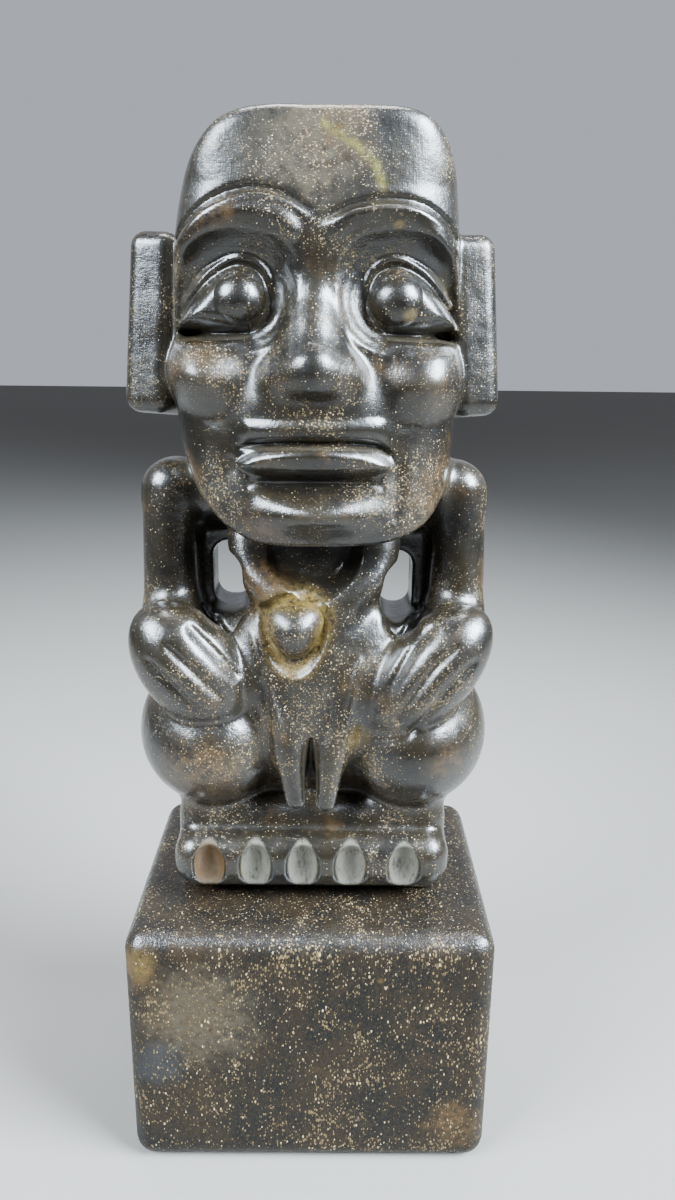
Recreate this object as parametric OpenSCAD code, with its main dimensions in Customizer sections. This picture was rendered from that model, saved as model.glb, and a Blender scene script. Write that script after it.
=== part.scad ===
// Squatting stone idol on a square plinth, in millimetres.
// The origin is the middle of the plinth's underside, +Z is up and the figure faces -Y.
// Left and right are the figure's own: its left side is +X.
// The members are blocked out as rounded masses and parted at flat faces, so that
// neighbours meet face to face and never overlap.

/* [Plinth] */
// Width of the plinth, side to side
plinth_w = 74; // [68:1:84]
// Depth of the plinth, front to back
plinth_d = 57; // [54:1:66]
// Height of the plinth
plinth_h = 54.6; // [40:0.2:70]
// Radius worn on the plinth's edges
plinth_edge = 3.5; // [2:0.5:6]

/* [Feet] */
// Width of the feet across both sides
feet_w = 57; // [50:1:60]
// Height of the feet above the plinth
feet_h = 19.4; // [18:0.2:21]
// Height of the toe roll
toe_h = 12.2; // [11:0.2:13]
// How far the toe roll stands out in front of the feet
toe_reach = 5.5; // [4:0.5:7]
// Number of toenail scoops in the toe roll
toe_count = 5; // [3:1:6]

/* [Body] */
// Distance from the middle to each arm's centre line
arm_x = 28.5; // [28:0.5:30]
// Half the thickness of an arm, side to side
arm_r = 5.6; // [5:0.1:6]
// Height above the plinth where the forearms meet the upper arms
elbow_h = 64.4; // [63:0.2:66]
// Height of the shoulders' centre above the plinth
shoulder_h = 83.4; // [82:0.2:84]
// Height of the lap above the plinth, on the middle line
lap_h = 28.7; // [27:0.1:30]
// Angle at which the lap rises towards the knees
lap_angle = 31.8; // [28:0.2:34]

/* [Head] */
// Height of the flat crown above the plinth
crown_h = 151.2; // [148:0.1:153]
// Width of the head at the cheekbones
head_w = 55; // [53:0.5:56]
// Height of the chin above the plinth
chin_h = 76.4; // [76:0.2:78]
// Height of the ears
ear_len = 33.5; // [30:0.5:36]
// Distance from the middle to each ear's outer face
ear_x = 34; // [32:0.5:36]
// Radius of the eyeballs
eye_r = 4.6; // [4:0.1:5]

/* [Hidden] */

$fn = 24;
far = 60;                        // beyond the figure on every side
feet_front = -12;                // front face of the feet
feet_back = 22;
toe_gap = 2.9;                   // height of the toe roll above the plinth
flank_x = 12.5;                  // the limbs part from the trunk here, below the elbows
loin_back = -11;                 // plane behind the loincloth ends
loin_top = 39.4;                 // height where the loincloth ends leave the belly
loin_gap = 0.3;                  // half the gap between the loincloth ends
armpit_x = 17;                   // the arms part from the chest here, above the elbows
boss_x = -3.5;                   // the boss sits a little to the figure's right
boss_h = 59;
nape_angle = 40;                 // slope of the parting between head and body
nape_y = -14;                    // a point on that parting, just under the chin
nape_h = chin_h - 0.7;
ear_in = head_w / 2 + 0.1;       // the ears part from the head here
ear_h = 97.9;                    // height of the ears' lower end
eye = [14, -12.4, 119.6];

plinth_stone = [0.20, 0.18, 0.15];
body_stone = [0.13, 0.12, 0.10];
face_stone = [0.16, 0.15, 0.12];
ochre_stone = [0.36, 0.28, 0.13];
pale_stone = [0.30, 0.28, 0.24];

// Height of the lap's parting at a distance x from the middle
function lap(x) = lap_h + tan(lap_angle) * x;

// Height of the head's parting at a distance y behind the middle
function nape(y) = nape_h + tan(nape_angle) * (y - nape_y);

// One rounded mass around balls, each given as [x, y, height, radius]
module mass(balls) {
    hull()
        for (b = balls)
            translate([b[0], b[1], b[2]]) sphere(b[3]);
}

// The same mass with each ball repeated on the other side
module paired_mass(balls) {
    mass(concat(balls, [for (b = balls) [-b[0], b[1], b[2], b[3]]]));
}

// Anything modelled on the left side, moved to the side asked for
module on_side(side) {
    if (side < 0) mirror([1, 0, 0]) children();
    else children();
}

// Block between two corners
module block(low, high) {
    translate(low) cube(high - low);
}

// Outline drawn as seen from the front, [x, height], cut from y = y0 back to y = y1
module front_cut(outline, y0, y1) {
    translate([0, y1, 0]) rotate([90, 0, 0]) linear_extrude(y1 - y0) polygon(outline);
}

// Outline drawn as seen from the side, [y, height], right across the figure
module side_cut(outline) {
    translate([-far, 0, 0]) rotate([90, 0, 90]) linear_extrude(2 * far) polygon(outline);
}

// ---- The spaces that the members are parted into, heights from the plinth's top ----

module above_nape() {
    side_cut([[-far, nape(-far)], [far, nape(far)], [far, 3 * far], [-far, 3 * far]]);
}

module below_nape() {
    side_cut([[-far, nape(-far)], [-far, 0], [far, 0], [far, nape(far)]]);
}

module haunch_space() {
    front_cut([[flank_x, feet_h], [far, feet_h], [far, lap(far)], [flank_x, lap(flank_x)]], -far, far);
}

module forearm_space() {
    front_cut([[flank_x, lap(flank_x)], [far, lap(far)], [far, elbow_h], [flank_x, elbow_h]], -far, far);
}

module arm_space() {
    block([armpit_x, -far, elbow_h], [far, far, 2 * far]);
}

module chest_space() {
    block([-armpit_x, -far, elbow_h], [armpit_x, far, 2 * far]);
}

module belly_space() {
    block([-flank_x, -far, loin_top], [flank_x, far, elbow_h]);
}

module pelvis_space() {
    block([-flank_x, loin_back, feet_h], [flank_x, far, loin_top]);
}

module loin_space() {
    block([loin_gap, -far, feet_h], [flank_x, loin_back, loin_top]);
}

module ear_space() {
    block([ear_in, -far, 0], [far, far, 3 * far]);
}

// ---- The members ----

// Bar of w by d with round corners, of length h along the height
module rounded_bar(w, d, h, r) {
    linear_extrude(h, center = true) {
        square([w - 2 * r, d], center = true);
        square([w, d - 2 * r], center = true);
        for (x = [-1, 1], y = [-1, 1])
            translate([x * (w / 2 - r), y * (d / 2 - r)]) circle(r);
    }
}

// The block that three rounded bars across each other have in common
module plinth() {
    color(plinth_stone)
        translate([0, 0, plinth_h / 2])
            intersection() {
                rounded_bar(plinth_w, plinth_d, plinth_h, plinth_edge);
                rotate([90, 0, 0]) rounded_bar(plinth_w, plinth_h, plinth_d, plinth_edge);
                rotate([90, 0, 90]) rounded_bar(plinth_d, plinth_h, plinth_w, plinth_edge);
            }
}

module feet() {
    color(body_stone)
        translate([0, (feet_front + feet_back) / 2, feet_h / 2])
            rounded_bar(feet_w, feet_back - feet_front, feet_h, 4);
}

module toe_roll() {
    half_w = feet_w / 2;
    r = toe_h / 2;
    pitch = feet_w / (toe_count + 0.6);
    color(pale_stone)
        difference() {
            intersection() {
                paired_mass([[half_w - r + 0.5, feet_front - toe_reach + r, toe_gap + r, r]]);
                block([-far, -far, 0], [far, feet_front, feet_h]);
            }
            for (i = [0 : toe_count - 1])
                translate([(i - (toe_count - 1) / 2) * pitch, feet_front - toe_reach - 0.8, toe_gap + r])
                    scale([1, 0.8, 1.7]) sphere(2.7);
        }
}

module haunch_mass() {
    mass([[21.5, -3, 32, 14.2], [20, 12, 32, 13], [6, -6, 27, 9], [6, 14, 30, 10]]);
    mass([[24, -8, 27, 9], [10, -8, 24, 6], [10, 16, 22, 6], [24, 14, 22, 8]]);
}

module hip_mass() {
    paired_mass([[15, 11, 34, 13], [13, 10, 54, 11]]);
}

module belly_mass() {
    paired_mass([[9, -7, 58, 6], [7, -7, 42, 7], [4, -9, 33, 5]]);
}

module neck_mass() {
    paired_mass([[7, 0, 58, 7.5], [6, 4, 92, 11]]);
}

module haunch(side) {
    color(body_stone)
        on_side(side)
            intersection() {
                union() {
                    haunch_mass();
                    hip_mass();
                }
                haunch_space();
            }
}

module pelvis() {
    color(body_stone)
        intersection() {
            union() {
                hip_mass();
                belly_mass();
                for (side = [-1, 1]) on_side(side) haunch_mass();
            }
            pelvis_space();
        }
}

module loincloth_end(side) {
    color(body_stone)
        on_side(side)
            intersection() {
                mass([[6, loin_back, 38, 3.4], [5.5, loin_back - 4, 30, 3], [3.4, -17, 23.5, 1.6],
                      [3, loin_back, 22, 2.4]]);
                loin_space();
            }
}

module boss_mass() {
    mass([[boss_x - 3.6, -12, boss_h + 2.6, 3], [boss_x + 3.6, -12, boss_h + 2.6, 3],
          [boss_x, -13, boss_h - 3.6, 3.2], [boss_x, -14, boss_h, 3.4]]);
}

module chest_boss() {
    color(ochre_stone) boss_mass();
}

module belly() {
    color(body_stone)
        difference() {
            intersection() {
                union() {
                    hip_mass();
                    belly_mass();
                    neck_mass();
                }
                belly_space();
            }
            boss_mass();
        }
}

module forearm(side) {
    color(body_stone)
        on_side(side)
            intersection() {
                union() {
                    hip_mass();
                    mass([[arm_x + 0.5, 3, 54, arm_r], [arm_x + 0.5, 1, 66, arm_r],
                          [arm_x + 0.5, 7, 66, arm_r], [22, 6, 54, arm_r]]);
                    mass([[arm_x - 0.5, -2, 54, 6.5], [26, -12, 51, 8.2], [27, -11, 47, 7],
                          [20.5, -12, 50, 7.6], [17.5, -15, 41, 4.8]]);
                }
                forearm_space();
            }
}

module arm(side) {
    color(body_stone)
        on_side(side)
            intersection() {
                union() {
                    mass([[arm_x + 0.5, 1, elbow_h - 3, arm_r], [arm_x + 0.5, 7, elbow_h - 3, arm_r],
                          [arm_x, 2, shoulder_h, arm_r], [arm_x, 8, shoulder_h, arm_r]]);
                    mass([[arm_x, 5, shoulder_h - 0.5, arm_r], [12, 5, shoulder_h - 0.5, arm_r + 0.5]]);
                }
                arm_space();
            }
}

module chest() {
    color(body_stone)
        difference() {
            intersection() {
                union() {
                    hip_mass();
                    belly_mass();
                    neck_mass();
                    paired_mass([[22, 5, shoulder_h - 0.5, arm_r + 0.5], [6, 8, shoulder_h + 4, 8]]);
                }
                chest_space();
                below_nape();
            }
            boss_mass();
        }
}

module eyeball(side) {
    on_side(side) translate(eye) sphere(eye_r);
}

module head() {
    cheek = head_w / 2;
    color(face_stone)
        difference() {
            intersection() {
                union() {
                    paired_mass([[cheek - 9, -7, 105, 9], [cheek - 10, 10, 108, 9.5], [cheek - 9, -2, 132, 8],
                                 [cheek - 10, 11, 132, 8.5], [cheek - 12, -2, crown_h - 5, 5],
                                 [cheek - 13, 12, crown_h - 5, 5], [14, -8, 88, 8],
                                 [6, -11, chin_h + 6.5, 6.5], [9, 8, 92, 10]]);
                    mass([[0, -13, 122, 3.4], [-5, -15, 108, 3.4], [5, -15, 108, 3.4],
                          [0, -20, 108.5, 3.6]]);
                    for (lip = [[96.8, 2.4], [91.6, 2.6]])
                        mass([[-11, -14.6, lip[0], lip[1]], [0, -16.4, lip[0], lip[1]],
                              [11, -14.6, lip[0], lip[1]]]);
                    for (side = [-1, 1])
                        on_side(side)
                            mass([[4, -12.5, 127, 2.4], [13, -12.5, 131, 2.6], [22, -8, 127, 2.6]]);
                }
                above_nape();
            }
            for (side = [-1, 1]) {
                on_side(side) ear_space();
                eyeball(side);
            }
        }
}

module ear(side) {
    top = ear_h + ear_len;
    color(face_stone)
        on_side(side)
            intersection() {
                mass([[ear_in, 0, ear_h + 3, 3], [ear_x - 3, 0, ear_h + 3, 3], [ear_x - 4, 10, ear_h + 4, 3],
                      [ear_in - 1, 0, top - 3, 3], [ear_x - 5.5, 0, top - 3, 3], [ear_x - 6, 10, top - 4, 3],
                      [ear_in, 10, ear_h + 4, 3], [ear_in - 1, 10, top - 4, 3]]);
                ear_space();
            }
}

module on_plinth() {
    translate([0, 0, plinth_h]) children();
}

plinth();
on_plinth() feet();
on_plinth() toe_roll();
on_plinth() haunch(1);  // left_haunch
on_plinth() haunch(-1);  // right_haunch
on_plinth() pelvis();
on_plinth() loincloth_end(1);  // left_loincloth_end
on_plinth() loincloth_end(-1);  // right_loincloth_end
on_plinth() belly();
on_plinth() chest_boss();
on_plinth() forearm(1);  // left_forearm
on_plinth() forearm(-1);  // right_forearm
on_plinth() arm(1);  // left_arm
on_plinth() arm(-1);  // right_arm
on_plinth() chest();
on_plinth() head();
on_plinth() color(face_stone) eyeball(1);  // left_eye
on_plinth() color(face_stone) eyeball(-1);  // right_eye
on_plinth() ear(1);  // left_ear
on_plinth() ear(-1);  // right_ear
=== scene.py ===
"""Looks of the squatting stone idol.

The figure is carved as one distance field, meshed once, and parted at the CAD members' planes, so
that each member is a closed mesh and the surface runs on from one to the next as in a single stone.
Carving is done in millimetres, with heights measured from the plinth's top; left is +X.
"""
import math

import bmesh
import bpy
import numpy as np
import openvdb
from mathutils import Matrix, Vector


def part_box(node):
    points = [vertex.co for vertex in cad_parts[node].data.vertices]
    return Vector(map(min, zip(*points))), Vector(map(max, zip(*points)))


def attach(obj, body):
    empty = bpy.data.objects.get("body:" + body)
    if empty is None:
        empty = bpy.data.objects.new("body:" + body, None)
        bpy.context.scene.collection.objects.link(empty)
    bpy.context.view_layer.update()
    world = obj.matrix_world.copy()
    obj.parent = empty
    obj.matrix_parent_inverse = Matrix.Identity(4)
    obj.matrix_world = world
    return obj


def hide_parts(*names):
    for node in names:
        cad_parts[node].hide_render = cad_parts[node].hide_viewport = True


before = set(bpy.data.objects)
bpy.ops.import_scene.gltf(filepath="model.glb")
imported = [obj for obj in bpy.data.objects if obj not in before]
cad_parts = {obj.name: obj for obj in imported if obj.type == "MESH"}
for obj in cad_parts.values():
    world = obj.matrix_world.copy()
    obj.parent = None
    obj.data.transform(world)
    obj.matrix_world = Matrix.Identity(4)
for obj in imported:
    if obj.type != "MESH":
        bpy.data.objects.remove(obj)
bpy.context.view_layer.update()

MM = 0.001
FAR = 4.0                          # distance stored where no stone is near
STEP = 0.5  # grid spacing of the carving
FINE = 0.3  # grid spacing of the small inset pieces
PLAIN = 0.8                        # grid spacing of the plinth
PLINTH_EDGE = 4.2                  # radius of the plinth's worn edges


def corners(node):
    """The lowest and highest corners of a CAD node, in carving coordinates."""
    low, high = (np.array(c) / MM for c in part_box(node))
    low[2] -= PLINTH_TOP
    high[2] -= PLINTH_TOP
    return low, high


PLINTH_LOW, PLINTH_HIGH = (np.array(c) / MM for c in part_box("plinth"))
PLINTH_TOP = PLINTH_HIGH[2]
CROWN = corners("head")[1][2]
FEET_TOP = corners("feet")[1][2]
FEET_FRONT = corners("feet")[0][1]
TOE_LOW, TOE_HIGH = corners("toe_roll")
FLANK = corners("left_haunch")[0][0]
ARMPIT = corners("left_arm")[0][0]
EAR_ROOT = corners("left_ear")[0][0]
EAR_LOW, EAR_HIGH = corners("left_ear")
LOIN_BACK = corners("pelvis")[0][1]
LOIN_TOP = corners("pelvis")[1][2]
ELBOW = corners("belly")[1][2]
LAP = 28.7                         # height of the lap's parting on the middle line
LAP_SLOPE = math.radians(31.8)
NAPE = (-14.0, 75.7)               # a point (y, height) on the parting under the head
NAPE_SLOPE = math.radians(40)
BOSS_RING = [(-10.8, 62.8), (-7, 65.6), (-1, 65.8), (3.4, 63), (2.9, 57), (0, 51.4), (-3.6, 49.4),
             (-7.4, 51.6), (-10, 57)]
BROWS = (((-25, 127.6), (-22.6, 131.4), (-18.3, 134.8), (-11.5, 137.1), (-4.8, 136.2), (0.2, 133)),
         ((0.8, 131.8), (6.2, 134.3), (12.9, 135.5), (18.8, 134.7), (23.6, 131.8), (26, 128)))
FOREHEAD = [*BROWS[0], *BROWS[1], (29, 140), (29, 154), (0, 156), (-29, 154), (-28, 140)]
RIGHT_EYE = (-13.2, -10.4, 119.3)
LEFT_EYE = (14.8, -10.2, 119.1)
VEIN_LINE = [(1.6, 147.2), (7, 143.8), (10.4, 140.6), (11.6, 137.4)]
FINGERS = (((24, 60.5), (14.2, 49)), ((28, 57.6), (17, 45.8)), ((31.6, 54.6), (20.5, 42.6)))
TOES = ((-20.9, 1.0), (-11.4, 1.02), (-1.8, 1.0), (8.0, 1.0), (18.9, 0.95))  # (x, length against the rest)


# ---- Shapes: each is (low corner, high corner, distance function of x, y, z) ----

def turned(turn):
    """Rotation for turns in degrees about x, y and z."""
    rx, ry, rz = (math.radians(a) for a in turn)
    return np.array(Matrix.Rotation(rz, 3, "Z") @ Matrix.Rotation(ry, 3, "Y") @ Matrix.Rotation(rx, 3, "X"))


def local(x, y, z, centre, turn):
    """Coordinates about a centre, along a turned shape's own axes."""
    dx, dy, dz = x - centre[0], y - centre[1], z - centre[2]
    if not any(turn):
        return dx, dy, dz
    r = turned(turn)
    return tuple(r[0, i] * dx + r[1, i] * dy + r[2, i] * dz for i in range(3))


def egg(centre, radii, turn=(0, 0, 0)):
    """Ellipsoid with the given half-axes."""
    reach = np.array(radii if not any(turn) else [max(radii)] * 3, float)

    def distance(x, y, z):
        u, v, w = local(x, y, z, centre, turn)
        a, b, c = radii
        near = np.sqrt((u / a) ** 2 + (v / b) ** 2 + (w / c) ** 2)
        slope = np.sqrt((u / a ** 2) ** 2 + (v / b ** 2) ** 2 + (w / c ** 2) ** 2)
        return near * (near - 1) / np.maximum(slope, 1e-4)

    return np.array(centre) - reach, np.array(centre) + reach, distance


def slab(centre, half, radius, turn=(0, 0, 0)):
    """Box with round edges and the given half-sizes."""
    reach = np.array(half if not any(turn) else [np.linalg.norm(half)] * 3, float)

    def distance(x, y, z):
        q = [np.abs(p) - (h - radius) for p, h in zip(local(x, y, z, centre, turn), half)]
        outside = np.sqrt(sum(np.maximum(p, 0) ** 2 for p in q))
        inside = np.minimum(np.maximum(np.maximum(q[0], q[1]), q[2]), 0)
        return outside + inside - radius

    return np.array(centre) - reach, np.array(centre) + reach, distance


def curve(points, pieces=5):
    """A smooth curve through the points, in short steps."""
    p = np.array(points, float)
    p = np.vstack([2 * p[0] - p[1], p, 2 * p[-1] - p[-2]])
    out = []
    for i in range(1, len(p) - 2):
        for t in np.arange(pieces) / pieces:
            out.append(0.5 * (2 * p[i] + (p[i + 1] - p[i - 1]) * t
                              + (2 * p[i - 1] - 5 * p[i] + 4 * p[i + 1] - p[i + 2]) * t ** 2
                              + (3 * p[i] - p[i - 1] - 3 * p[i + 1] + p[i + 2]) * t ** 3))
    return np.array(out + [p[-2]])


def roll(balls):
    """Round bar along a smooth curve; each ball is (x, y, height, radius)."""
    balls = curve(balls)
    reach = balls[:, 3:].max()

    def distance(x, y, z):
        best = None
        for a, b in zip(balls[:-1], balls[1:]):
            d = b[:3] - a[:3]
            t = ((x - a[0]) * d[0] + (y - a[1]) * d[1] + (z - a[2]) * d[2]) / max(d @ d, 1e-6)
            t = np.clip(t, 0, 1)
            off = np.sqrt((x - a[0] - t * d[0]) ** 2 + (y - a[1] - t * d[1]) ** 2
                          + (z - a[2] - t * d[2]) ** 2) - (a[3] + t * (b[3] - a[3]))
            best = off if best is None else np.minimum(best, off)
        return best

    return balls[:, :3].min(0) - reach, balls[:, :3].max(0) + reach, distance


def line_distance(u, v, line):
    """Distance in a plane from (u, v) to a line of points, and how far along it the nearest one is."""
    best, along, count = 1e6, 0, len(line) - 1
    for i, (a, b) in enumerate(zip(line[:-1], line[1:])):
        d = b - a
        t = np.clip(((u - a[0]) * d[0] + (v - a[1]) * d[1]) / max(d @ d, 1e-9), 0, 1)
        off = (u - a[0] - t * d[0]) ** 2 + (v - a[1] - t * d[1]) ** 2
        along = np.where(off < best, (i + t) / count, along)
        best = np.minimum(best, off)
    return np.sqrt(best), along


def ring_distance(u, v, points):
    """Signed distance in a plane from (u, v) to a closed curve, below zero inside."""
    loop = np.array(points, float)
    loop = curve(np.vstack([loop, loop[:1]]), 4)
    inside = False
    for a, b in zip(loop[:-1], loop[1:]):
        if a[1] != b[1]:
            crossing = a[0] + (v - a[1]) * (b[0] - a[0]) / (b[1] - a[1])
            inside = inside ^ (((a[1] > v) != (b[1] > v)) & (u < crossing))
    return np.where(inside, -1, 1) * line_distance(u, v, loop)[0]


def meet(a, b, soft):
    """What two solids have in common, its edges rounded by about soft."""
    h = np.clip(0.5 - 0.5 * (a - b) / soft, 0, 1)
    return a + (b - a) * h + soft * h * (1 - h)


def profiled(front, side, soft):
    """The solid with a given outline from the front, (x, height), and from the side, (y, height)."""
    front_array, side_array = np.array(front), np.array(side)
    low = np.array([front_array[:, 0].min(), side_array[:, 0].min(), front_array[:, 1].min()]) - 1
    high = np.array([front_array[:, 0].max(), side_array[:, 0].max(), front_array[:, 1].max()]) + 1

    def distance(x, y, z):
        return meet(ring_distance(x, z, front), ring_distance(y, z, side), soft)

    return low, high, distance


def mirrored(shape):
    """The same shape on the other side of the middle."""
    low, high, distance = shape
    return (np.array([-high[0], low[1], low[2]]), np.array([-low[0], high[1], high[2]]),
            lambda x, y, z: distance(-x, y, z))


class Stone:
    """A stone as a signed distance field, below zero inside."""

    def __init__(self, low, high, step):
        self.low, self.step = np.array(low, float), step
        counts = np.ceil((np.array(high) - self.low) / step).astype(int) + 1
        self.axes = [(self.low[i] + step * np.arange(counts[i])).astype(np.float32) for i in range(3)]
        self.field = np.full(counts, FAR, np.float32)

    def window(self, low, high):
        """The part of the grid between two corners, and its coordinates."""
        spans = [slice(*np.searchsorted(axis, (a, b))) for axis, a, b in zip(self.axes, low, high)]
        x, y, z = (axis[span] for axis, span in zip(self.axes, spans))
        return tuple(spans), x[:, None, None], y[None, :, None], z[None, None, :]

    def add(self, shape, soft):
        """Joins a shape on, with a fillet about as wide as soft."""
        low, high, distance = shape
        part, x, y, z = self.window(low - soft - FAR, high + soft + FAR)
        a, b = self.field[part], distance(x, y, z)
        h = np.clip(0.5 + 0.5 * (a - b) / soft, 0, 1)
        self.field[part] = a + (b - a) * h - soft * h * (1 - h)

    def cut(self, shape, soft):
        """Takes a shape away, with its edges rounded by about soft."""
        low, high, distance = shape
        part, x, y, z = self.window(low - soft - 1, high + soft + 1)
        a, b = self.field[part], -distance(x, y, z)
        h = np.clip(0.5 - 0.5 * (a - b) / soft, 0, 1)
        self.field[part] = a + (b - a) * h + soft * h * (1 - h)

    def front(self, low, high):
        """The grid before the middle between two (x, height) corners, with its x and its heights."""
        part, x, _, z = self.window((low[0], -np.inf, low[1]), (high[0], 0, high[1]))
        return part, x, z

    def stroke(self, points, width, depth):
        """Cuts a groove into the front along a curve of (x, height). A depth below zero raises a ridge."""
        line = curve(points)
        reach = 2.6 * width
        part, x, z = self.front(line.min(0) - reach, line.max(0) + reach)
        off, along = line_distance(x, z, line)
        end = 2 * abs(along - 0.5)
        self.field[part] += depth * (1 - end ** 8) * np.exp(-(off * (1 + 0.6 * end ** 4) / width) ** 2)

    def pad(self, outline, height, edge):
        """Raises the front inside a closed outline of (x, height), or sinks it where height is below zero.

        It reaches its full height at edge inside the outline.
        """
        loop = np.array(outline)
        part, x, z = self.front(loop.min(0) - 1, loop.max(0) + 1)
        t = np.clip(-ring_distance(x, z, outline) / edge, 0, 1)
        self.field[part] -= height * t * (2 - t)

    def swell(self, centre, radii, turn, height):
        """Raises a low dome on the front, an oval about a centre given as (x, height)."""
        part, x, z = self.front(np.array(centre) - max(radii), np.array(centre) + max(radii))
        c, s = math.cos(math.radians(turn)), math.sin(math.radians(turn))
        u = (c * (x - centre[0]) + s * (z - centre[1])) / radii[0]
        v = (c * (z - centre[1]) - s * (x - centre[0])) / radii[1]
        self.field[part] -= height * np.clip(1 - u ** 2 - v ** 2, 0, 1) ** 2

    def sample(self, points):
        """The field at points in carving coordinates."""
        p = (points - self.low) / self.step
        i = np.clip(np.floor(p).astype(int), 0, np.array(self.field.shape) - 2)
        f = (p - i).astype(np.float32)
        total = np.zeros(len(p), np.float32)
        for corner in range(8):
            o = np.array([corner & 1, corner >> 1 & 1, corner >> 2 & 1])
            weight = np.prod(np.where(o, f, 1 - f), axis=1)
            total += weight * self.field[tuple((i + o).T)]
        return total

    def normals(self, points):
        """Outward directions of the surface near the points."""
        e = self.step * 0.75
        g = np.stack([self.sample(points + d) - self.sample(points - d) for d in np.eye(3) * e], 1)
        return g / np.maximum(np.linalg.norm(g, axis=1, keepdims=True), 1e-6)

    def surface(self):
        """The stone's surface as a bmesh of quads, its vertices settled onto the true surface."""
        grid = openvdb.FloatGrid(FAR)
        grid.copyFromArray(np.clip(self.field, -FAR, FAR))
        points, quads = grid.convertToQuads(isovalue=0.0)
        points = self.low + self.step * points
        for _ in range(2):
            points = points - self.normals(points) * self.sample(points)[:, None]
        mesh = bpy.data.meshes.new("stone")
        mesh.from_pydata(points.tolist(), [], quads.tolist())
        bm = bmesh.new()
        bm.from_mesh(mesh)
        bpy.data.meshes.remove(mesh)
        for face in bm.faces:
            face.smooth = True
        return bm


# ---- Parting the stone into members ----

def half(bm, point, normal, keep_front):
    """One side of a closed mesh cut by a plane, closed again with flat faces."""
    part = bm.copy()
    geometry = part.verts[:] + part.edges[:] + part.faces[:]
    result = bmesh.ops.bisect_plane(part, geom=geometry, dist=1e-5, plane_co=point, plane_no=normal,
                                    clear_inner=keep_front, clear_outer=not keep_front)
    edges = [e for e in result["geom_cut"] if isinstance(e, bmesh.types.BMEdge)]
    if edges:
        outward = -Vector(normal) if keep_front else Vector(normal)
        made = bmesh.ops.triangle_fill(part, use_beauty=True, edges=edges, normal=outward)
        for face in made["geom"]:
            if isinstance(face, bmesh.types.BMFace):
                face.smooth = False
                if face.normal.dot(outward) < 0:
                    face.normal_flip()
    return part


def halves(bm, point, normal):
    """Both sides of a closed mesh cut by a plane: the one the normal points to comes first."""
    sides = half(bm, point, normal, True), half(bm, point, normal, False)
    bm.free()
    return sides


def measure_marks(points, normals, stone):
    """Values for the materials: hollows that hold dust, toe scoops, the boss's ring and the vein."""
    x, y, h = points.T
    reach = 2.5
    marks = {"hollow": np.clip(1 - stone.sample(points + normals * reach) / reach, 0, 1)}
    front = y < -4
    middle = (TOE_LOW[2] + TOE_HIGH[2]) / 2
    scoops = [1 - ((x - place) / 3.3) ** 2 - ((h - middle) / (5.9 * tall)) ** 2 for place, tall in TOES]
    marks["scoop"] = np.clip(np.max(scoops, axis=0), 0, 1) * (y < -14)
    marks["ring"] = np.exp(-((ring_distance(x, h, BOSS_RING) + 1.2) / 1.5) ** 2) * front
    marks["forehead"] = np.clip(-ring_distance(x, h, FOREHEAD), 0, 1) * front
    marks["vein"] = np.exp(-(line_distance(x, h, curve(VEIN_LINE))[0] / 0.7) ** 2) * front
    return marks


def to_object(bm, name, stone):
    """A mesh object in metres, shaded with the stone's own surface directions."""
    bmesh.ops.triangulate(bm, faces=[f for f in bm.faces if not f.smooth and len(f.verts) > 4])
    mesh = bpy.data.meshes.new(name)
    bm.to_mesh(mesh)
    bm.free()
    count = len(mesh.vertices)
    points = np.empty(count * 3, np.float32)
    mesh.vertices.foreach_get("co", points)
    points = points.reshape(-1, 3).astype(float)
    smooth = stone.normals(points)
    moved = points * MM
    moved[:, 2] += PLINTH_TOP * MM
    mesh.vertices.foreach_set("co", moved.astype(np.float32).ravel())
    mesh.update()
    for label, values in measure_marks(points, smooth, stone).items():
        mesh.attributes.new(label, "FLOAT", "POINT").data.foreach_set("value", values.astype(np.float32))
    loops = np.empty(len(mesh.loops), np.int32)
    mesh.loops.foreach_get("vertex_index", loops)
    normals = smooth[loops]
    for polygon in mesh.polygons:
        if not polygon.use_smooth:
            normals[polygon.loop_start:polygon.loop_start + polygon.loop_total] = polygon.normal
    mesh.normals_split_custom_set(normals.tolist())
    obj = bpy.data.objects.new(name, mesh)
    bpy.context.collection.objects.link(obj)
    return obj


# ---- Carving ----

def both(stone, shape, soft):
    """Adds a shape and its mirror image."""
    stone.add(shape, soft)
    stone.add(mirrored(shape), soft)


def both_strokes(stone, line, width, depth):
    stone.stroke(line, width, depth)
    stone.stroke([(-x, h) for x, h in line], width, depth)


def carve_feet(stone):
    top = FEET_TOP
    stone.add(slab((0, 5.3, top / 2), (28, 5.3 - FEET_FRONT, top / 2 + 1), 4.5), 1)
    middle = (TOE_LOW + TOE_HIGH) / 2
    size = (TOE_HIGH - TOE_LOW) / 2
    stone.add(slab((0, FEET_FRONT - 0.2, middle[2]), (28.4, 5.3, size[2]), 5.0), 2)
    for x, tall in TOES:
        stone.cut(egg((x, -18.4, middle[2]), (3.6, 3.7, 6.1 * tall)), 0.3)


def carve_legs(stone):
    both(stone, egg((20.6, 1.5, 33), (16.2, 20.5, 16)), 4)
    stone.add(egg((0, 6, 30), (20, 16.5, 13)), 4)


def carve_trunk(stone):
    stone.add(slab((0, 7, 44), (27, 11.5, 15), 9), 4)
    stone.add(slab((0, 10.5, 66), (33, 5, 21), 4.5), 3)
    stone.add(slab((0, 2, 66), (13.5, 9, 15), 6), 3)
    stone.add(roll([(0, 3, 70, 10.5), (0, 5, 84, 11), (0, 7, 98, 13)]), 4)
    both(stone, roll([(28.5, 4, 82, 6.5), (16, 7, 83, 7), (4, 8, 86, 8)]), 3)


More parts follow.
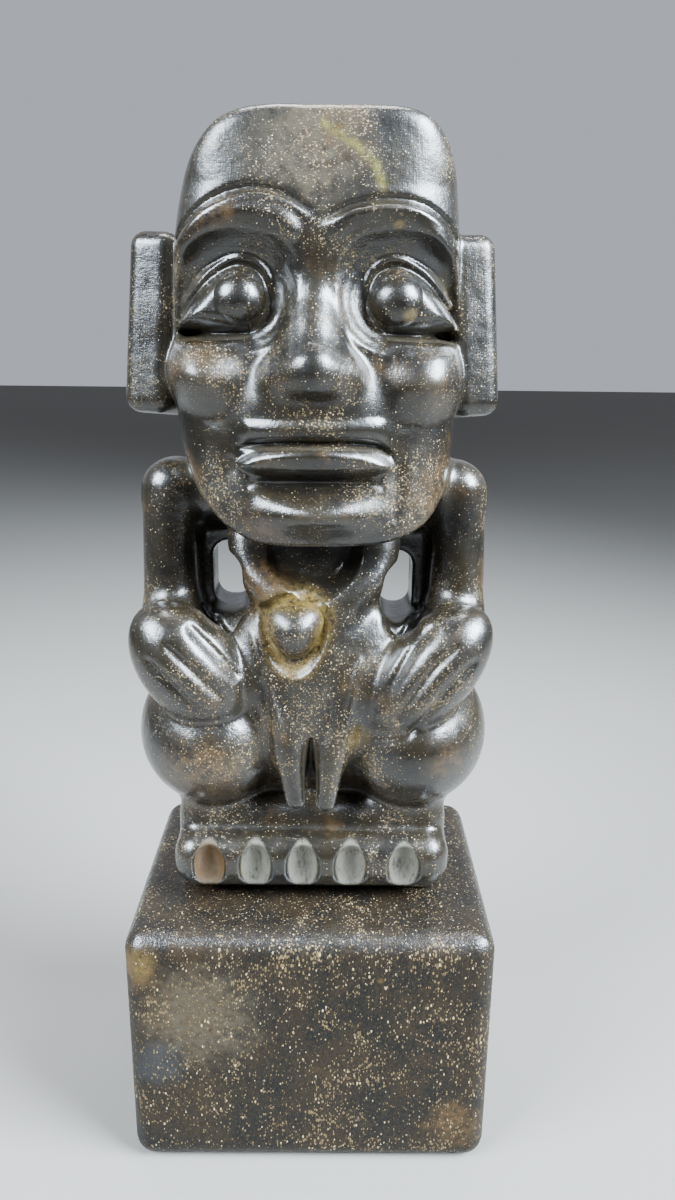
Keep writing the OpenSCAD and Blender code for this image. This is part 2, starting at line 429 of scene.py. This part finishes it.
def carve_arms(stone):
    both(stone, roll([(28.6, 1, 84, 5.6), (29.2, 0.5, 74, 5.3), (29.2, 0, 60, 5.7)]), 2)
    both(stone, roll([(28.4, 6, 83.5, 5.8), (29, 6, 74, 5.5), (28.9, 6, 58, 6)]), 2)


def carve_hands(stone):
    both(stone, egg((28.4, -2, 56.5), (6.2, 9, 7)), 3)
    stone.add(egg((-24.3, -11, 50.6), (14.6, 9, 9.6), (0, 52.6, 0)), 1.2)
    stone.add(egg((22.6, -11, 49.4), (16.6, 9, 9), (0, -50, 0)), 1.2)
    for side, reach in ((-1, 1), (1, 1.12)):
        for (x, h), (end_x, end_h) in FINGERS:
            middle = (side * (x + end_x) / 2, (h + end_h) / 2 + 0.7)
            end = (side * end_x * (2 - reach), end_h * (2 - reach))
            stone.stroke([(side * x, h), middle, end], 0.9, 0.8)
    both_strokes(stone, [(24.5, 62.6), (28.5, 63.4), (32.5, 62.2)], 2, 0.15)


def carve_chest(stone):
    stone.add(egg((-0.3, -7, 47), (15.5, 8.6, 22)), 4)
    stone.add(roll([(-11.5, -7, 56, 3.4), (-8.8, -11.4, 46, 3.2), (-5.1, -13.8, 35, 3),
                    (-3.2, -15.2, 23.6, 2)]), 3)
    stone.add(roll([(12.5, -7, 58, 3.6), (8.4, -11.4, 47, 3.4), (4.4, -14, 35, 3.1),
                    (2.8, -15.4, 23.2, 2)]), 3)
    both(stone, roll([(11.5, 3, 84, 5.5), (12.8, -2, 77, 4.4), (12.4, -5.4, 70, 3.8),
                      (8.4, -8.2, 65.4, 3.6), (2, -9.6, 61.5, 3.4)]), 3)
    stone.add(slab((9.4, -2.8, 70.5), (4.4, 4.6, 7.5), 3, (0, 18, 28)), 3)
    stone.stroke([(-0.2, 37), (-0.2, 29), (-0.2, 21)], 0.8, 0.9)
    stone.stroke([(-12, 58), (-9, 49), (-5.8, 38)], 0.7, -0.5)
    stone.stroke([(-9, 50), (-8.6, 42), (-8.2, 34)], 0.6, 0.5)
    stone.stroke([(9.4, 54), (7.6, 45), (6, 35)], 0.7, -0.5)
    stone.stroke([(2.8, 48), (3.4, 42), (2.6, 36)], 0.6, 0.4)
    stone.pad([(-9, 80), (9, 80), (9.4, 72), (7, 67.4), (1.3, 63.6), (-4.5, 66), (-8.8, 71)], -2.6, 4)
    stone.pad(BOSS_RING, -1.3, 2)


def carve_head(stone):
    front = [(0, CROWN), (12, CROWN), (18, CROWN - 1.2), (22.4, CROWN - 4), (25.2, CROWN - 9),
             (26.4, 135), (26.9, 127), (27, 118), (27.4, 108), (27.6, 100), (27.1, 93), (25.7, 86),
             (22.5, 80), (17, 76.6), (10, 74.9), (0, 74.4), (-8, 74.9), (-13, 76.8), (-18, 80.4),
             (-22, 85.2), (-25, 92), (-26.8, 99), (-27.3, 106), (-26.6, 116), (-26, 127), (-24.7, 135),
             (-22.1, CROWN - 9), (-17.8, CROWN - 4), (-12.6, CROWN - 1.2), (-7, CROWN)]
    side = [(-9.5, CROWN), (-12.1, CROWN - 0.6), (-13.4, 146), (-14.6, 138), (-15, 130), (-13.6, 122),
            (-14, 112), (-15, 104), (-15.6, 96), (-15.8, 90), (-17.4, 84.5), (-17.6, 79.5), (-15.6, 75.2),
            (-11, 76.8), (0, 86), (9, 93), (19, 99), (22.4, 107), (23, 122), (21.6, 138), (19, 146.5),
            (15, CROWN), (4, CROWN)]
    low, high, distance = profiled(front, side, 3)

    def rounded(x, y, z):
        power = 2.7 - 0.45 * np.clip((z - 128) / 10, 0, 1)
        plan = (np.abs((x - 0.4) / 28) ** power + np.abs((y - 4.5) / 21.5) ** power) ** (1 / power)
        return meet(distance(x, y, z), (plan - 1) * 22, 3)

    stone.add((low, high, rounded), 3)


def carve_brows(stone):
    for line in BROWS:
        stone.stroke(line, 0.55, 0.9)
        stone.stroke([(x, h - 1.4) for x, h in line], 0.7, -0.45)
    stone.stroke([(-24.5, 126.5), (-19.4, 131.4), (-12.5, 133.6), (-6, 132.6), (-2.6, 129)], 2.1, -1.1)
    stone.stroke([(2.6, 129), (6.3, 132.2), (12.5, 133.3), (19, 132.2), (25, 126.5)], 2.1, -1.1)


def carve_socket(stone, side, x):
    """One eye: the sunken socket with rings on its nasal side, the lids, and the slot below them."""
    stone.pad([(x + side * 11.8, 121), (x + side * 9.8, 126.4), (x + side * 5.6, 129.8),
               (x - side * 1, 130.9), (x - side * 7.2, 129.4), (x - side * 10.6, 125.4),
               (x - side * 10.4, 118.6), (x - side * 7, 112.4), (x, 110), (x + side * 11.8, 111)], -3.4, 7)
    for radius in (7.2, 8.9, 10.6):
        ring = [(x - side * radius * math.cos(a), 119.4 + radius * 0.9 * math.sin(a))
                for a in np.radians(range(-70, 56, 18))]
        stone.stroke(ring, 0.7, -0.3)
    lids = [(x + side * 12.4, 114.2), (x + side * 9.6, 118.4), (x + side * 5, 123),
            (x, 125.2), (x - side * 3.9, 123.6), (x - side * 5.4, 119.4),
            (x - side * 4, 115.2), (x, 113.8)]
    stone.pad(lids, 3.2, 3.4)
    stone.stroke([(x + side * 10.5, 118), (x + side * 8, 121), (x + side * 4.8, 124),
                  (x, 126), (x - side * 4.4, 124.4), (x - side * 6, 119.4)], 0.7, -1.0)
    stone.stroke([(x + side * 11.5, 113.3), (x + side * 4, 113.4), (x - side * 2, 113.6)], 0.7, 1.1)
    stone.stroke([(x + side * 12, 111.6), (x + side * 4, 111.7), (x - side * 2.4, 111.9)], 0.9, -0.6)


def carve_nose(stone):
    stone.add(roll([(0, -8.6, 130, 4.6), (0, -10.6, 121, 4), (0, -15.7, 113, 3.9),
                    (0, -19.2, 107.8, 4.5)]), 2.5)
    both(stone, roll([(1.6, -13.6, 114.6, 2.2), (3.2, -14.8, 110.6, 2.8), (4.4, -16, 106.8, 3.4)]), 3.5)
    stone.add(roll([(-4.4, -16.4, 106.4, 3.2), (0, -18.8, 106.6, 3.8), (4.4, -16.4, 106.4, 3.2)]), 3)
    stone.cut(slab((0, -27, 100.3), (14, 9, 4.2), 1, (-14, 0, 0)), 0.8)


def carve_mouth(stone):
    stone.add(egg((0, -10.5, 99.5), (15, 8.4, 11)), 3)
    stone.pad([(-12.6, 99), (-12.8, 95.2), (-6, 95.4), (0, 95.7), (6, 95.5), (12.8, 95), (12.8, 99.2),
               (6, 99.1), (0, 99), (-6, 99)], 0.7, 2.4)
    stone.stroke([(-13.8, 93.9), (-7, 94.7), (0, 94.9), (7, 94.8), (12, 94.1), (15, 92)], 0.55, 1.5)
    stone.pad([(-14.4, 91), (-10, 93.4), (0, 94.5), (10, 93.6), (14.8, 90.8), (12, 89.2), (0, 88.6),
               (-11, 89.2)], 1.8, 2)
    stone.stroke([(-12, 87.2), (0, 86.9), (13, 87.2)], 1.8, 1.8)
    stone.swell((1, 82), (15, 5.6), 0, 3)
    for side in (-1, 1):
        stone.stroke([(side * 14.6, 92.5), (side * 15.4, 88), (side * 15, 80)], 1.5, 0.45)
        stone.stroke([(side * 11, 109), (side * 14.4, 104), (side * 18, 97)], 3, 0.3)


def carve_face(stone):
    carve_brows(stone)
    carve_socket(stone, -1, RIGHT_EYE[0])
    carve_socket(stone, 1, LEFT_EYE[0])
    stone.swell((-20.6, 106.2), (11.5, 7.5), -10, 3)
    stone.swell((20.8, 105.4), (11.5, 8), 10, 2.6)
    carve_nose(stone)
    carve_mouth(stone)


def carve_ears(stone):
    middle = (EAR_LOW + EAR_HIGH) / 2
    for side, x in ((-1, 29.6), (1, 28.8)):
        stone.add(slab((side * x, 4.8, middle[2]), (4.8, 7.6, 16.6), 3, (-6, -side * 2.5, side * 13)), 1)


def open_gaps(stone):
    for x, height, half_width in ((-17.6, 65.2, 3.7), (17.3, 63.4, 3.3)):
        stone.cut(slab((x, 8, height), (half_width, 24, 6.8), 3.2), 1.2)


def carve_figure():
    size = (PLINTH_HIGH - PLINTH_LOW) / 2
    stone = Stone((-size[0] - 3, -size[1] - 3, -2), (size[0] + 3, size[1] + 3, CROWN + 3), STEP)
    carve_feet(stone)
    carve_legs(stone)
    carve_trunk(stone)
    carve_arms(stone)
    carve_hands(stone)
    carve_chest(stone)
    carve_head(stone)
    carve_face(stone)
    carve_ears(stone)
    open_gaps(stone)
    return stone


def part_figure(stone):
    """The figure's members by name, each a closed object."""
    rest, below = halves(stone.surface(), (0, 0, 0), (0, 0, 1))  # the sole is cut flat on the plinth
    below.free()
    members = {}
    nape = (0, -math.sin(NAPE_SLOPE), math.cos(NAPE_SLOPE))
    head, body = halves(rest, (0, NAPE[0], NAPE[1]), nape)
    members["left_ear"], head = halves(head, (EAR_ROOT, 0, 0), (1, 0, 0))
    members["right_ear"], members["head"] = halves(head, (-EAR_ROOT, 0, 0), (-1, 0, 0))
    body, foot = halves(body, (0, 0, FEET_TOP), (0, 0, 1))
    members["feet"], members["toe_roll"] = halves(foot, (0, FEET_FRONT, 0), (0, 1, 0))
    upper, lower = halves(body, (0, 0, ELBOW), (0, 0, 1))
    members["left_arm"], upper = halves(upper, (ARMPIT, 0, 0), (1, 0, 0))
    members["right_arm"], members["chest"] = halves(upper, (-ARMPIT, 0, 0), (-1, 0, 0))
    for side, name in ((1, "left"), (-1, "right")):
        limb, lower = halves(lower, (FLANK * side, 0, 0), (side, 0, 0))
        slope = (-side * math.sin(LAP_SLOPE), 0, math.cos(LAP_SLOPE))
        members[name + "_forearm"], members[name + "_haunch"] = halves(limb, (0, 0, LAP), slope)
    members["belly"], lower = halves(lower, (0, 0, LOIN_TOP), (0, 0, 1))
    members["pelvis"], front = halves(lower, (0, LOIN_BACK, 0), (0, 1, 0))
    members["left_loincloth_end"], members["right_loincloth_end"] = halves(front, (0.1, 0, 0), (1, 0, 0))
    return {name: to_object(bm, name + "_stone", stone) for name, bm in members.items()}


def inset_piece(node, shapes):
    """A small closed piece of its own, carved from (shape, softness) pairs."""
    low = np.min([s[0][0] for s in shapes], axis=0) - 2
    high = np.max([s[0][1] for s in shapes], axis=0) + 2
    stone = Stone(low, high, FINE)
    for shape, soft in shapes:
        stone.add(shape, soft)
    return to_object(stone.surface(), node + "_stone", stone)


def make_eyes():
    return {"right_eye": inset_piece("right_eye", [(egg(RIGHT_EYE, (4.9, 4.8, 4.7)), 1)]),
            "left_eye": inset_piece("left_eye", [(egg(LEFT_EYE, (5.1, 4.8, 4.9)), 1)])}


def make_boss():
    return {"chest_boss": inset_piece("chest_boss", [
        (egg((-5.8, -11.8, 60.6), (3, 3.2, 2.8)), 1), (egg((-1, -11.8, 60.8), (3, 3.2, 2.8)), 2),
        (egg((-3.5, -12, 56), (3, 3.6, 3.4)), 3), (egg((-3.5, -12.4, 59), (4, 5.2, 3.8)), 4)])}


def carve_plinth():
    size = (PLINTH_HIGH - PLINTH_LOW) / 2
    stone = Stone((-size[0] - 3, -size[1] - 3, -PLINTH_TOP - 3), (size[0] + 3, size[1] + 3, 3), PLAIN)
    stone.add(slab((0, 0, -PLINTH_TOP / 2), size, PLINTH_EDGE), 1)
    return {"plinth": to_object(stone.surface(), "plinth_stone", stone)}


# ---- Materials ----

class Nodes:
    """A material's node tree. Sizes are in millimetres; sockets and plain values mix freely."""

    def __init__(self, name):
        self.material = bpy.data.materials.new(name)
        self.material.use_nodes = True
        self.tree = self.material.node_tree
        self.shader = self.tree.nodes["Principled BSDF"]
        self.place = self.tree.nodes.new("ShaderNodeTexCoord").outputs["Object"]

    def add(self, kind, inputs=(), **settings):
        node = self.tree.nodes.new("ShaderNode" + kind)
        for name, value in settings.items():
            setattr(node, name, value)
        for name, value in dict(inputs).items():
            if isinstance(value, bpy.types.NodeSocket):
                self.tree.links.new(value, node.inputs[name])
            else:
                node.inputs[name].default_value = value
        return node

    def math(self, operation, a, b):
        return self.add("Math", {0: a, 1: b}, operation=operation).outputs[0]

    def times(self, a, b):
        return self.math("MULTIPLY", a, b)

    def plus(self, a, b):
        return self.math("ADD", a, b)

    def minus(self, a, b):
        return self.math("SUBTRACT", a, b)

    def most(self, a, b):
        return self.math("MAXIMUM", a, b)

    def mix(self, amount, a, b):
        """Colour a where amount is 0, and b where it is 1."""
        return self.add("Mix", {0: amount, 6: a, 7: b}, data_type="RGBA").outputs[2]

    def rise(self, value, low, high):
        """0 below low and 1 above high, with a smooth step between."""
        node = self.add("MapRange", {"Value": value, "From Min": low, "From Max": high},
                        interpolation_type="SMOOTHSTEP")
        return node.outputs["Result"]

    def noise(self, size, detail, rough, stretch=(1, 1, 1)):
        """Clouds about size across, drawn out by the stretch along x, y and z."""
        scale = [1 / (size * MM * s) for s in stretch]
        place = self.add("Mapping", {"Vector": self.place, "Scale": scale}).outputs[0]
        node = self.add("TexNoise", {"Vector": place, "Scale": 1.0, "Detail": detail, "Roughness": rough})
        return node.outputs["Fac"]

    def grains(self, size, share, stretch):
        """Round specks in cells about size across; share, from 0 to 1, is how many cells hold one."""
        scale = [1 / (size * MM)] * 2 + [1 / (size * MM * stretch)]
        place = self.add("Mapping", {"Vector": self.place, "Scale": scale}).outputs[0]
        cells = self.add("TexVoronoi", {"Vector": place, "Scale": 1.0})
        luck = self.add("SeparateColor", {"Color": cells.outputs["Color"]}).outputs[0]
        radius = self.times(self.minus(self.plus(luck, share), 1.0), 0.8)
        return self.rise(self.minus(radius, cells.outputs["Distance"]), 0.0, 0.12)

    def patch(self, centre, reach, core=0.75):
        """A ragged patch around a point given as (x, y, height above the plinth); full within its core."""
        point = Vector((centre[0], centre[1], centre[2] + PLINTH_TOP)) * MM
        away = self.add("VectorMath", {0: self.place, 1: point}, operation="DISTANCE").outputs["Value"]
        ragged = self.plus(away, self.times(self.noise(4, 5, 0.6), reach * MM))
        return self.rise(ragged, reach * MM * 1.5, reach * MM * core)

    def mark(self, name):
        """A value that the carving left on the mesh."""
        return self.add("Attribute", attribute_name=name).outputs["Fac"]

    def upward(self):
        """How far the surface faces up, from -1 to 1."""
        normal = self.add("NewGeometry").outputs["Normal"]
        return self.add("SeparateXYZ", {"Vector": normal}).outputs["Z"]

    def set(self, name, value):
        """Gives one of the shader's sockets a plain value or a link."""
        if isinstance(value, bpy.types.NodeSocket):
            self.tree.links.new(value, self.shader.inputs[name])
        else:
            self.shader.inputs[name].default_value = value

    def polish(self, weight, roughness):
        """A waxed surface over the grain."""
        self.set("Specular IOR Level", 0.15)
        self.set("Coat Weight", weight)
        self.set("Coat Roughness", roughness)

    def finish(self, colour, roughness, *bumps):
        """Links the colour, the roughness and the bumps, each (height, depth), to the shader."""
        self.set("Base Color", colour)
        self.set("Roughness", roughness)
        normal = None
        for height, depth in bumps:
            inputs = {"Height": height, "Distance": depth * MM, "Strength": 1.0}
            if normal:
                inputs["Normal"] = normal
            normal = self.add("Bump", inputs).outputs[0]
        self.set("Normal", normal)
        self.set("Coat Normal", normal)
        return self.material


BLACK = (0.0023, 0.0023, 0.0022, 1)
OLIVE = (0.0062, 0.0048, 0.0025, 1)
UMBER = (0.0078, 0.0051, 0.0028, 1)
BROWN = (0.0468, 0.0257, 0.0094, 1)
BUFF = (0.0390, 0.0312, 0.0203, 1)
OCHRE = (0.0936, 0.0608, 0.0156, 1)
VEIN = (0.0819, 0.0702, 0.0140, 1)
DUST = (0.0312, 0.0273, 0.0203, 1)
CHALK = (0.0780, 0.0725, 0.0562, 1)
HAZE = (0.0328, 0.0211, 0.0086, 1)
GRIT = (0.0975, 0.0655, 0.0281, 1)
SPECK = (0.2964, 0.2301, 0.1326, 1)
SLATE = (0.0195, 0.0211, 0.0234, 1)

# Patches of the stone's surface, each ((x, y, height above the plinth), reach)
FIGURE_BROWN = (((22, -9, 86), 9), ((-22, -9, 88), 6), ((-9, -10, 68), 7), ((-22, -17, 30), 10),
                ((3, -13, 147), 8))
FIGURE_OCHRE = (((8.5, -14, 37), 4), ((17, -14, 116.5), 1.8), ((14.5, -15, 131), 1.4))
FIGURE_GRITTY = (((0, -13, 142), 13), ((20, -12, 90), 12), ((-4, -17, 98), 10), ((0, -15, 44), 18),
                 ((-20, -18, 49), 16), ((22, -18, 49), 16), ((-20, -17, 32), 13), ((-3.5, -18, 59), 6),
                 ((14, -13, 126), 8), ((22, -13, 107), 10), ((-21, -13, 111), 6))
# Patches where the pale specks thin out, leaving the stone darker and glossier: painted shade on a cheek, a
# haunch, the arms and under the chin
FIGURE_SHADE_BARE = (((-22, -12, 100), 10), ((24, -16, 32), 12), ((-18, -14, 134), 7), ((0, -9, 72), 7),
               ((0, -20, 12), 16), ((-31, -3, 73), 10), ((31, -3, 72), 8))
FIGURE_MATTE = (((-9.5, -16, 104), 8), ((9.5, -16, 104), 8), ((0, -19, 99), 11))
PLINTH_BROWN = (((-24, -29, -17), 11), ((-34, -26, -8), 8), ((30, -29, -44), 8))
PLINTH_OCHRE = (((-34, -28, -6), 5), ((14, -29, -9), 1.2))
PLINTH_GRITTY = (((-26, -29, -30), 15), ((-6, -29, -44), 12), ((12, -29, -34), 8), ((28, -29, -38), 8))


def ground_colour(n, lighter, stained, brown_patches, ochre_patches):
    """The stone's own colour before its specks: black clouded with a lighter tone, stained in patches."""
    colour = n.mix(n.rise(n.noise(9, 6, 0.62), 0.38, 0.62), BLACK, lighter)
    brown = n.times(n.rise(n.noise(14, 5, 0.6), 0.54, 0.72), stained)
    for centre, reach in brown_patches:
        brown = n.most(brown, n.patch(centre, reach))
    colour = n.mix(n.times(brown, n.rise(n.noise(1.6, 4, 0.7), 0.3, 0.65)), colour, BROWN)
    ochre = 0.0
    for centre, reach in ochre_patches:
        ochre = n.most(ochre, n.patch(centre, reach))
    return n.mix(n.times(ochre, n.rise(n.noise(1, 4, 0.7), 0.2, 0.7)), colour, OCHRE)


def speckle(n, colour, size, stretch, least, pale_patches, shade_bare_patches=()):
    """Pale crystals over the stone: fine grit and round specks, crowded in clouds and patches, and thinned
    in patches of painted shade.
    """
    crowd = n.most(n.rise(n.noise(12, 6, 0.66), 0.34, 0.72), least)
    for centre, reach in pale_patches:
        crowd = n.most(crowd, n.times(n.patch(centre, reach, 0.1), 0.95))
    # Patches of painted shade: the specks and grit thin out there, so the stone shows darker
    for centre, reach in shade_bare_patches:
        bare = n.times(n.patch(centre, reach), 0.8)
        crowd = n.times(crowd, n.minus(1.0, bare))
    haze = n.rise(n.noise(size * 0.36, 2, 0.75, (1, 1, stretch)), 0.44, 0.62)
    haze = n.times(haze, n.plus(n.times(crowd, 0.5), 0.08))
    colour = n.mix(haze, colour, HAZE)
    grit = n.grains(size * 0.48, n.plus(n.times(crowd, 0.7), 0.3), stretch)
    colour = n.mix(grit, colour, GRIT)
    specks = n.grains(size * 0.8, n.plus(n.times(crowd, 0.22), 0.3), stretch)
    return n.mix(specks, colour, SPECK), n.most(specks, grit), crowd


def polished_stone():
    """The figure's stone: waxed and glossy where bare, brushed where gritty, matte in the hollows."""
    n = Nodes("polished_stone")
    colour = ground_colour(n, OLIVE, 0.75, FIGURE_BROWN, FIGURE_OCHRE)
    ragged = n.rise(n.noise(1.2, 4, 0.7), 0.3, 0.6)
    worn = n.times(n.patch((-1, -14, 142), 13), n.rise(n.noise(2.5, 5, 0.7), 0.3, 0.6))
    colour = n.mix(n.times(worn, n.mark("forehead")), colour, BUFF)
    hollow = n.rise(n.mark("hollow"), 0.25, 0.7)
    colour = n.mix(n.times(hollow, 0.5), colour, DUST)
    colour = n.mix(n.times(n.mark("ring"), ragged), colour, OCHRE)
    # The last patches thin the specks, painting shade on parts that face down or lie under the chin
    colour, specks, crowd = speckle(n, colour, 0.66, 1.0, 0.15, FIGURE_GRITTY, FIGURE_SHADE_BARE)
    colour = n.mix(n.times(n.mark("vein"), ragged), colour, VEIN)
    scoop = n.rise(n.mark("scoop"), 0.05, 0.3)
    streaks = n.rise(n.noise(1.2, 4, 0.7, (1, 1, 3)), 0.2, 0.55)
    colour = n.mix(n.times(scoop, streaks), colour, CHALK)
    colour = n.mix(n.times(scoop, n.patch((-20.9, -17, 9), 9)), colour, BROWN)
    wear = n.noise(4, 5, 0.65)
    matte = n.most(n.most(scoop, hollow), n.mark("ring"))
    dull = n.most(matte, n.times(specks, 0.5))
    for centre, reach in FIGURE_MATTE:
        dull = n.most(dull, n.times(n.patch(centre, reach), 0.85))
    brushed = n.times(n.most(crowd, n.times(n.mark("forehead"), 0.7)), 0.2)
    brushed = n.plus(brushed, n.times(wear, 0.12))
    n.polish(n.minus(1.0, n.times(dull, 0.7)), n.plus(brushed, 0.07))
    rough = n.plus(n.times(wear, 0.3), 0.2)
    rough = n.plus(rough, n.times(n.most(scoop, crowd), 0.25))
    scratches = n.plus(n.noise(0.25, 2, 0.5, (1, 1, 14)), n.noise(0.25, 2, 0.5, (14, 1, 1)))
    return n.finish(colour, rough, (n.noise(6, 3, 0.5), 0.3), (scratches, 0.025), (specks, 0.015),
                    (n.noise(0.5, 3, 0.6), 0.025))


def plinth_stone():
    """The plinth's stone: rough-ground faces, and a polished top."""
    n = Nodes("plinth_stone")
    colour = ground_colour(n, UMBER, 0.25, PLINTH_BROWN, PLINTH_OCHRE)
    worn = n.times(n.patch((-22, -29, -18), 16), n.rise(n.noise(1.5, 4, 0.7), 0.25, 0.6))
    colour = n.mix(worn, colour, BUFF)
    colour = n.mix(n.times(n.patch((-31, -29, -29), 8), 0.6), colour, SLATE)
    colour, specks, crowd = speckle(n, colour, 0.82, 1.9, 0.4, PLINTH_GRITTY)
    top = n.rise(n.upward(), 0.1, 0.7)
    n.polish(n.plus(n.times(top, 0.8), 0.1), n.minus(0.38, n.times(top, 0.16)))
    rough = n.plus(n.times(n.noise(6, 5, 0.65), 0.25), 0.32)
    rough = n.plus(rough, n.times(crowd, 0.15))
    scratches = n.noise(0.3, 2, 0.5, (1, 1, 12))
    return n.finish(colour, rough, (n.noise(5, 4, 0.55), 0.5), (scratches, 0.05), (specks, 0.06),
                    (n.noise(0.6, 3, 0.6), 0.1))


# ---- Stage ----

FLOOR_REACH = 3.0
FLOOR_COLOUR = (0.17, 0.16, 0.145, 1)
ROOM_BEFORE = (0.09, 0.09, 0.10, 1)
ROOM_BEHIND = (0.46, 0.49, 0.54, 1)
DAYLIGHT = (0.76, 0.88, 1)
WHITE = (1, 1, 1)
SPREAD = math.radians(70)          # narrow, so that the lamps light the figure more than the floor
CAMERA_PLACE = (0.0036, -0.1783, 0.1675)


def make_floor():
    mesh = bpy.data.meshes.new("floor")
    r = FLOOR_REACH
    mesh.from_pydata([(-r, -r, 0), (r, -r, 0), (r, r, 0), (-r, r, 0)], [], [(0, 1, 2, 3)])
    floor = bpy.data.objects.new("floor", mesh)
    bpy.context.collection.objects.link(floor)
    material = bpy.data.materials.new("floor")
    material.use_nodes = True
    shader = material.node_tree.nodes["Principled BSDF"]
    shader.inputs["Base Color"].default_value = FLOOR_COLOUR
    shader.inputs["Roughness"].default_value = 0.7
    floor.data.materials.append(material)


def area_light(name, place, target, size, power, tint):
    data = bpy.data.lights.new(name, "AREA")
    data.shape = "RECTANGLE"
    data.size, data.size_y = size
    data.energy = power
    data.color = tint
    data.spread = SPREAD
    light = bpy.data.objects.new(name, data)
    light.location = place
    light.rotation_euler = (Vector(target) - Vector(place)).to_track_quat("-Z", "Y").to_euler()
    bpy.context.collection.objects.link(light)


def make_lights():
    """A window on either side and a soft lamp above; the room in front of the figure is darker."""
    aim = (0, 0, 0.14)
    area_light("left_window", (-0.54, -0.36, 0.60), aim, (0.46, 0.42), 8.2, DAYLIGHT)
    area_light("right_window", (0.58, -0.26, 0.60), aim, (0.46, 0.52), 18, DAYLIGHT)
    area_light("above", (0, 0.14, 0.85), aim, (0.4, 0.1), 1, WHITE)
    world = bpy.data.worlds.new("studio")
    world.use_nodes = True
    tree = world.node_tree
    place = tree.nodes.new("ShaderNodeTexCoord").outputs["Generated"]
    depth = tree.nodes.new("ShaderNodeSeparateXYZ")
    tree.links.new(place, depth.inputs[0])
    ramp = tree.nodes.new("ShaderNodeValToRGB")
    ramp.color_ramp.elements[0].color = ROOM_BEFORE
    ramp.color_ramp.elements[1].color = ROOM_BEHIND
    ramp.color_ramp.elements[1].position = 0.75
    tree.links.new(depth.outputs["Y"], ramp.inputs[0])
    tree.links.new(ramp.outputs[0], tree.nodes["Background"].inputs["Color"])
    bpy.context.scene.world = world


def make_camera():
    """Close to the figure and a little above its middle, tilted down, as the photograph was taken."""
    data = bpy.data.cameras.new("camera")
    data.lens = 27
    data.sensor_width = 36
    data.clip_start = 0.01
    camera = bpy.data.objects.new("camera", data)
    bpy.context.collection.objects.link(camera)
    yaw, pitch, tilt = (math.radians(a) for a in (0.41, 16.22, 0.63))
    aim = (Matrix.Rotation(-yaw, 4, "Z") @ Matrix.Rotation(math.pi / 2 - pitch, 4, "X")
           @ Matrix.Rotation(tilt, 4, "Z"))
    camera.matrix_world = Matrix.Translation(CAMERA_PLACE) @ aim
    bpy.context.scene.camera = camera


def dress(pieces):
    """Gives each piece its material and body, and hides the CAD part that it replaces."""
    polished, worn = polished_stone(), plinth_stone()
    for node, piece in pieces.items():
        piece.data.materials.append(worn if node == "plinth" else polished)
        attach(piece, "root")
        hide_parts(node)


make_camera()
make_lights()
make_floor()
figure = carve_figure()
dress({**part_figure(figure), **make_eyes(), **make_boss(), **carve_plinth()})
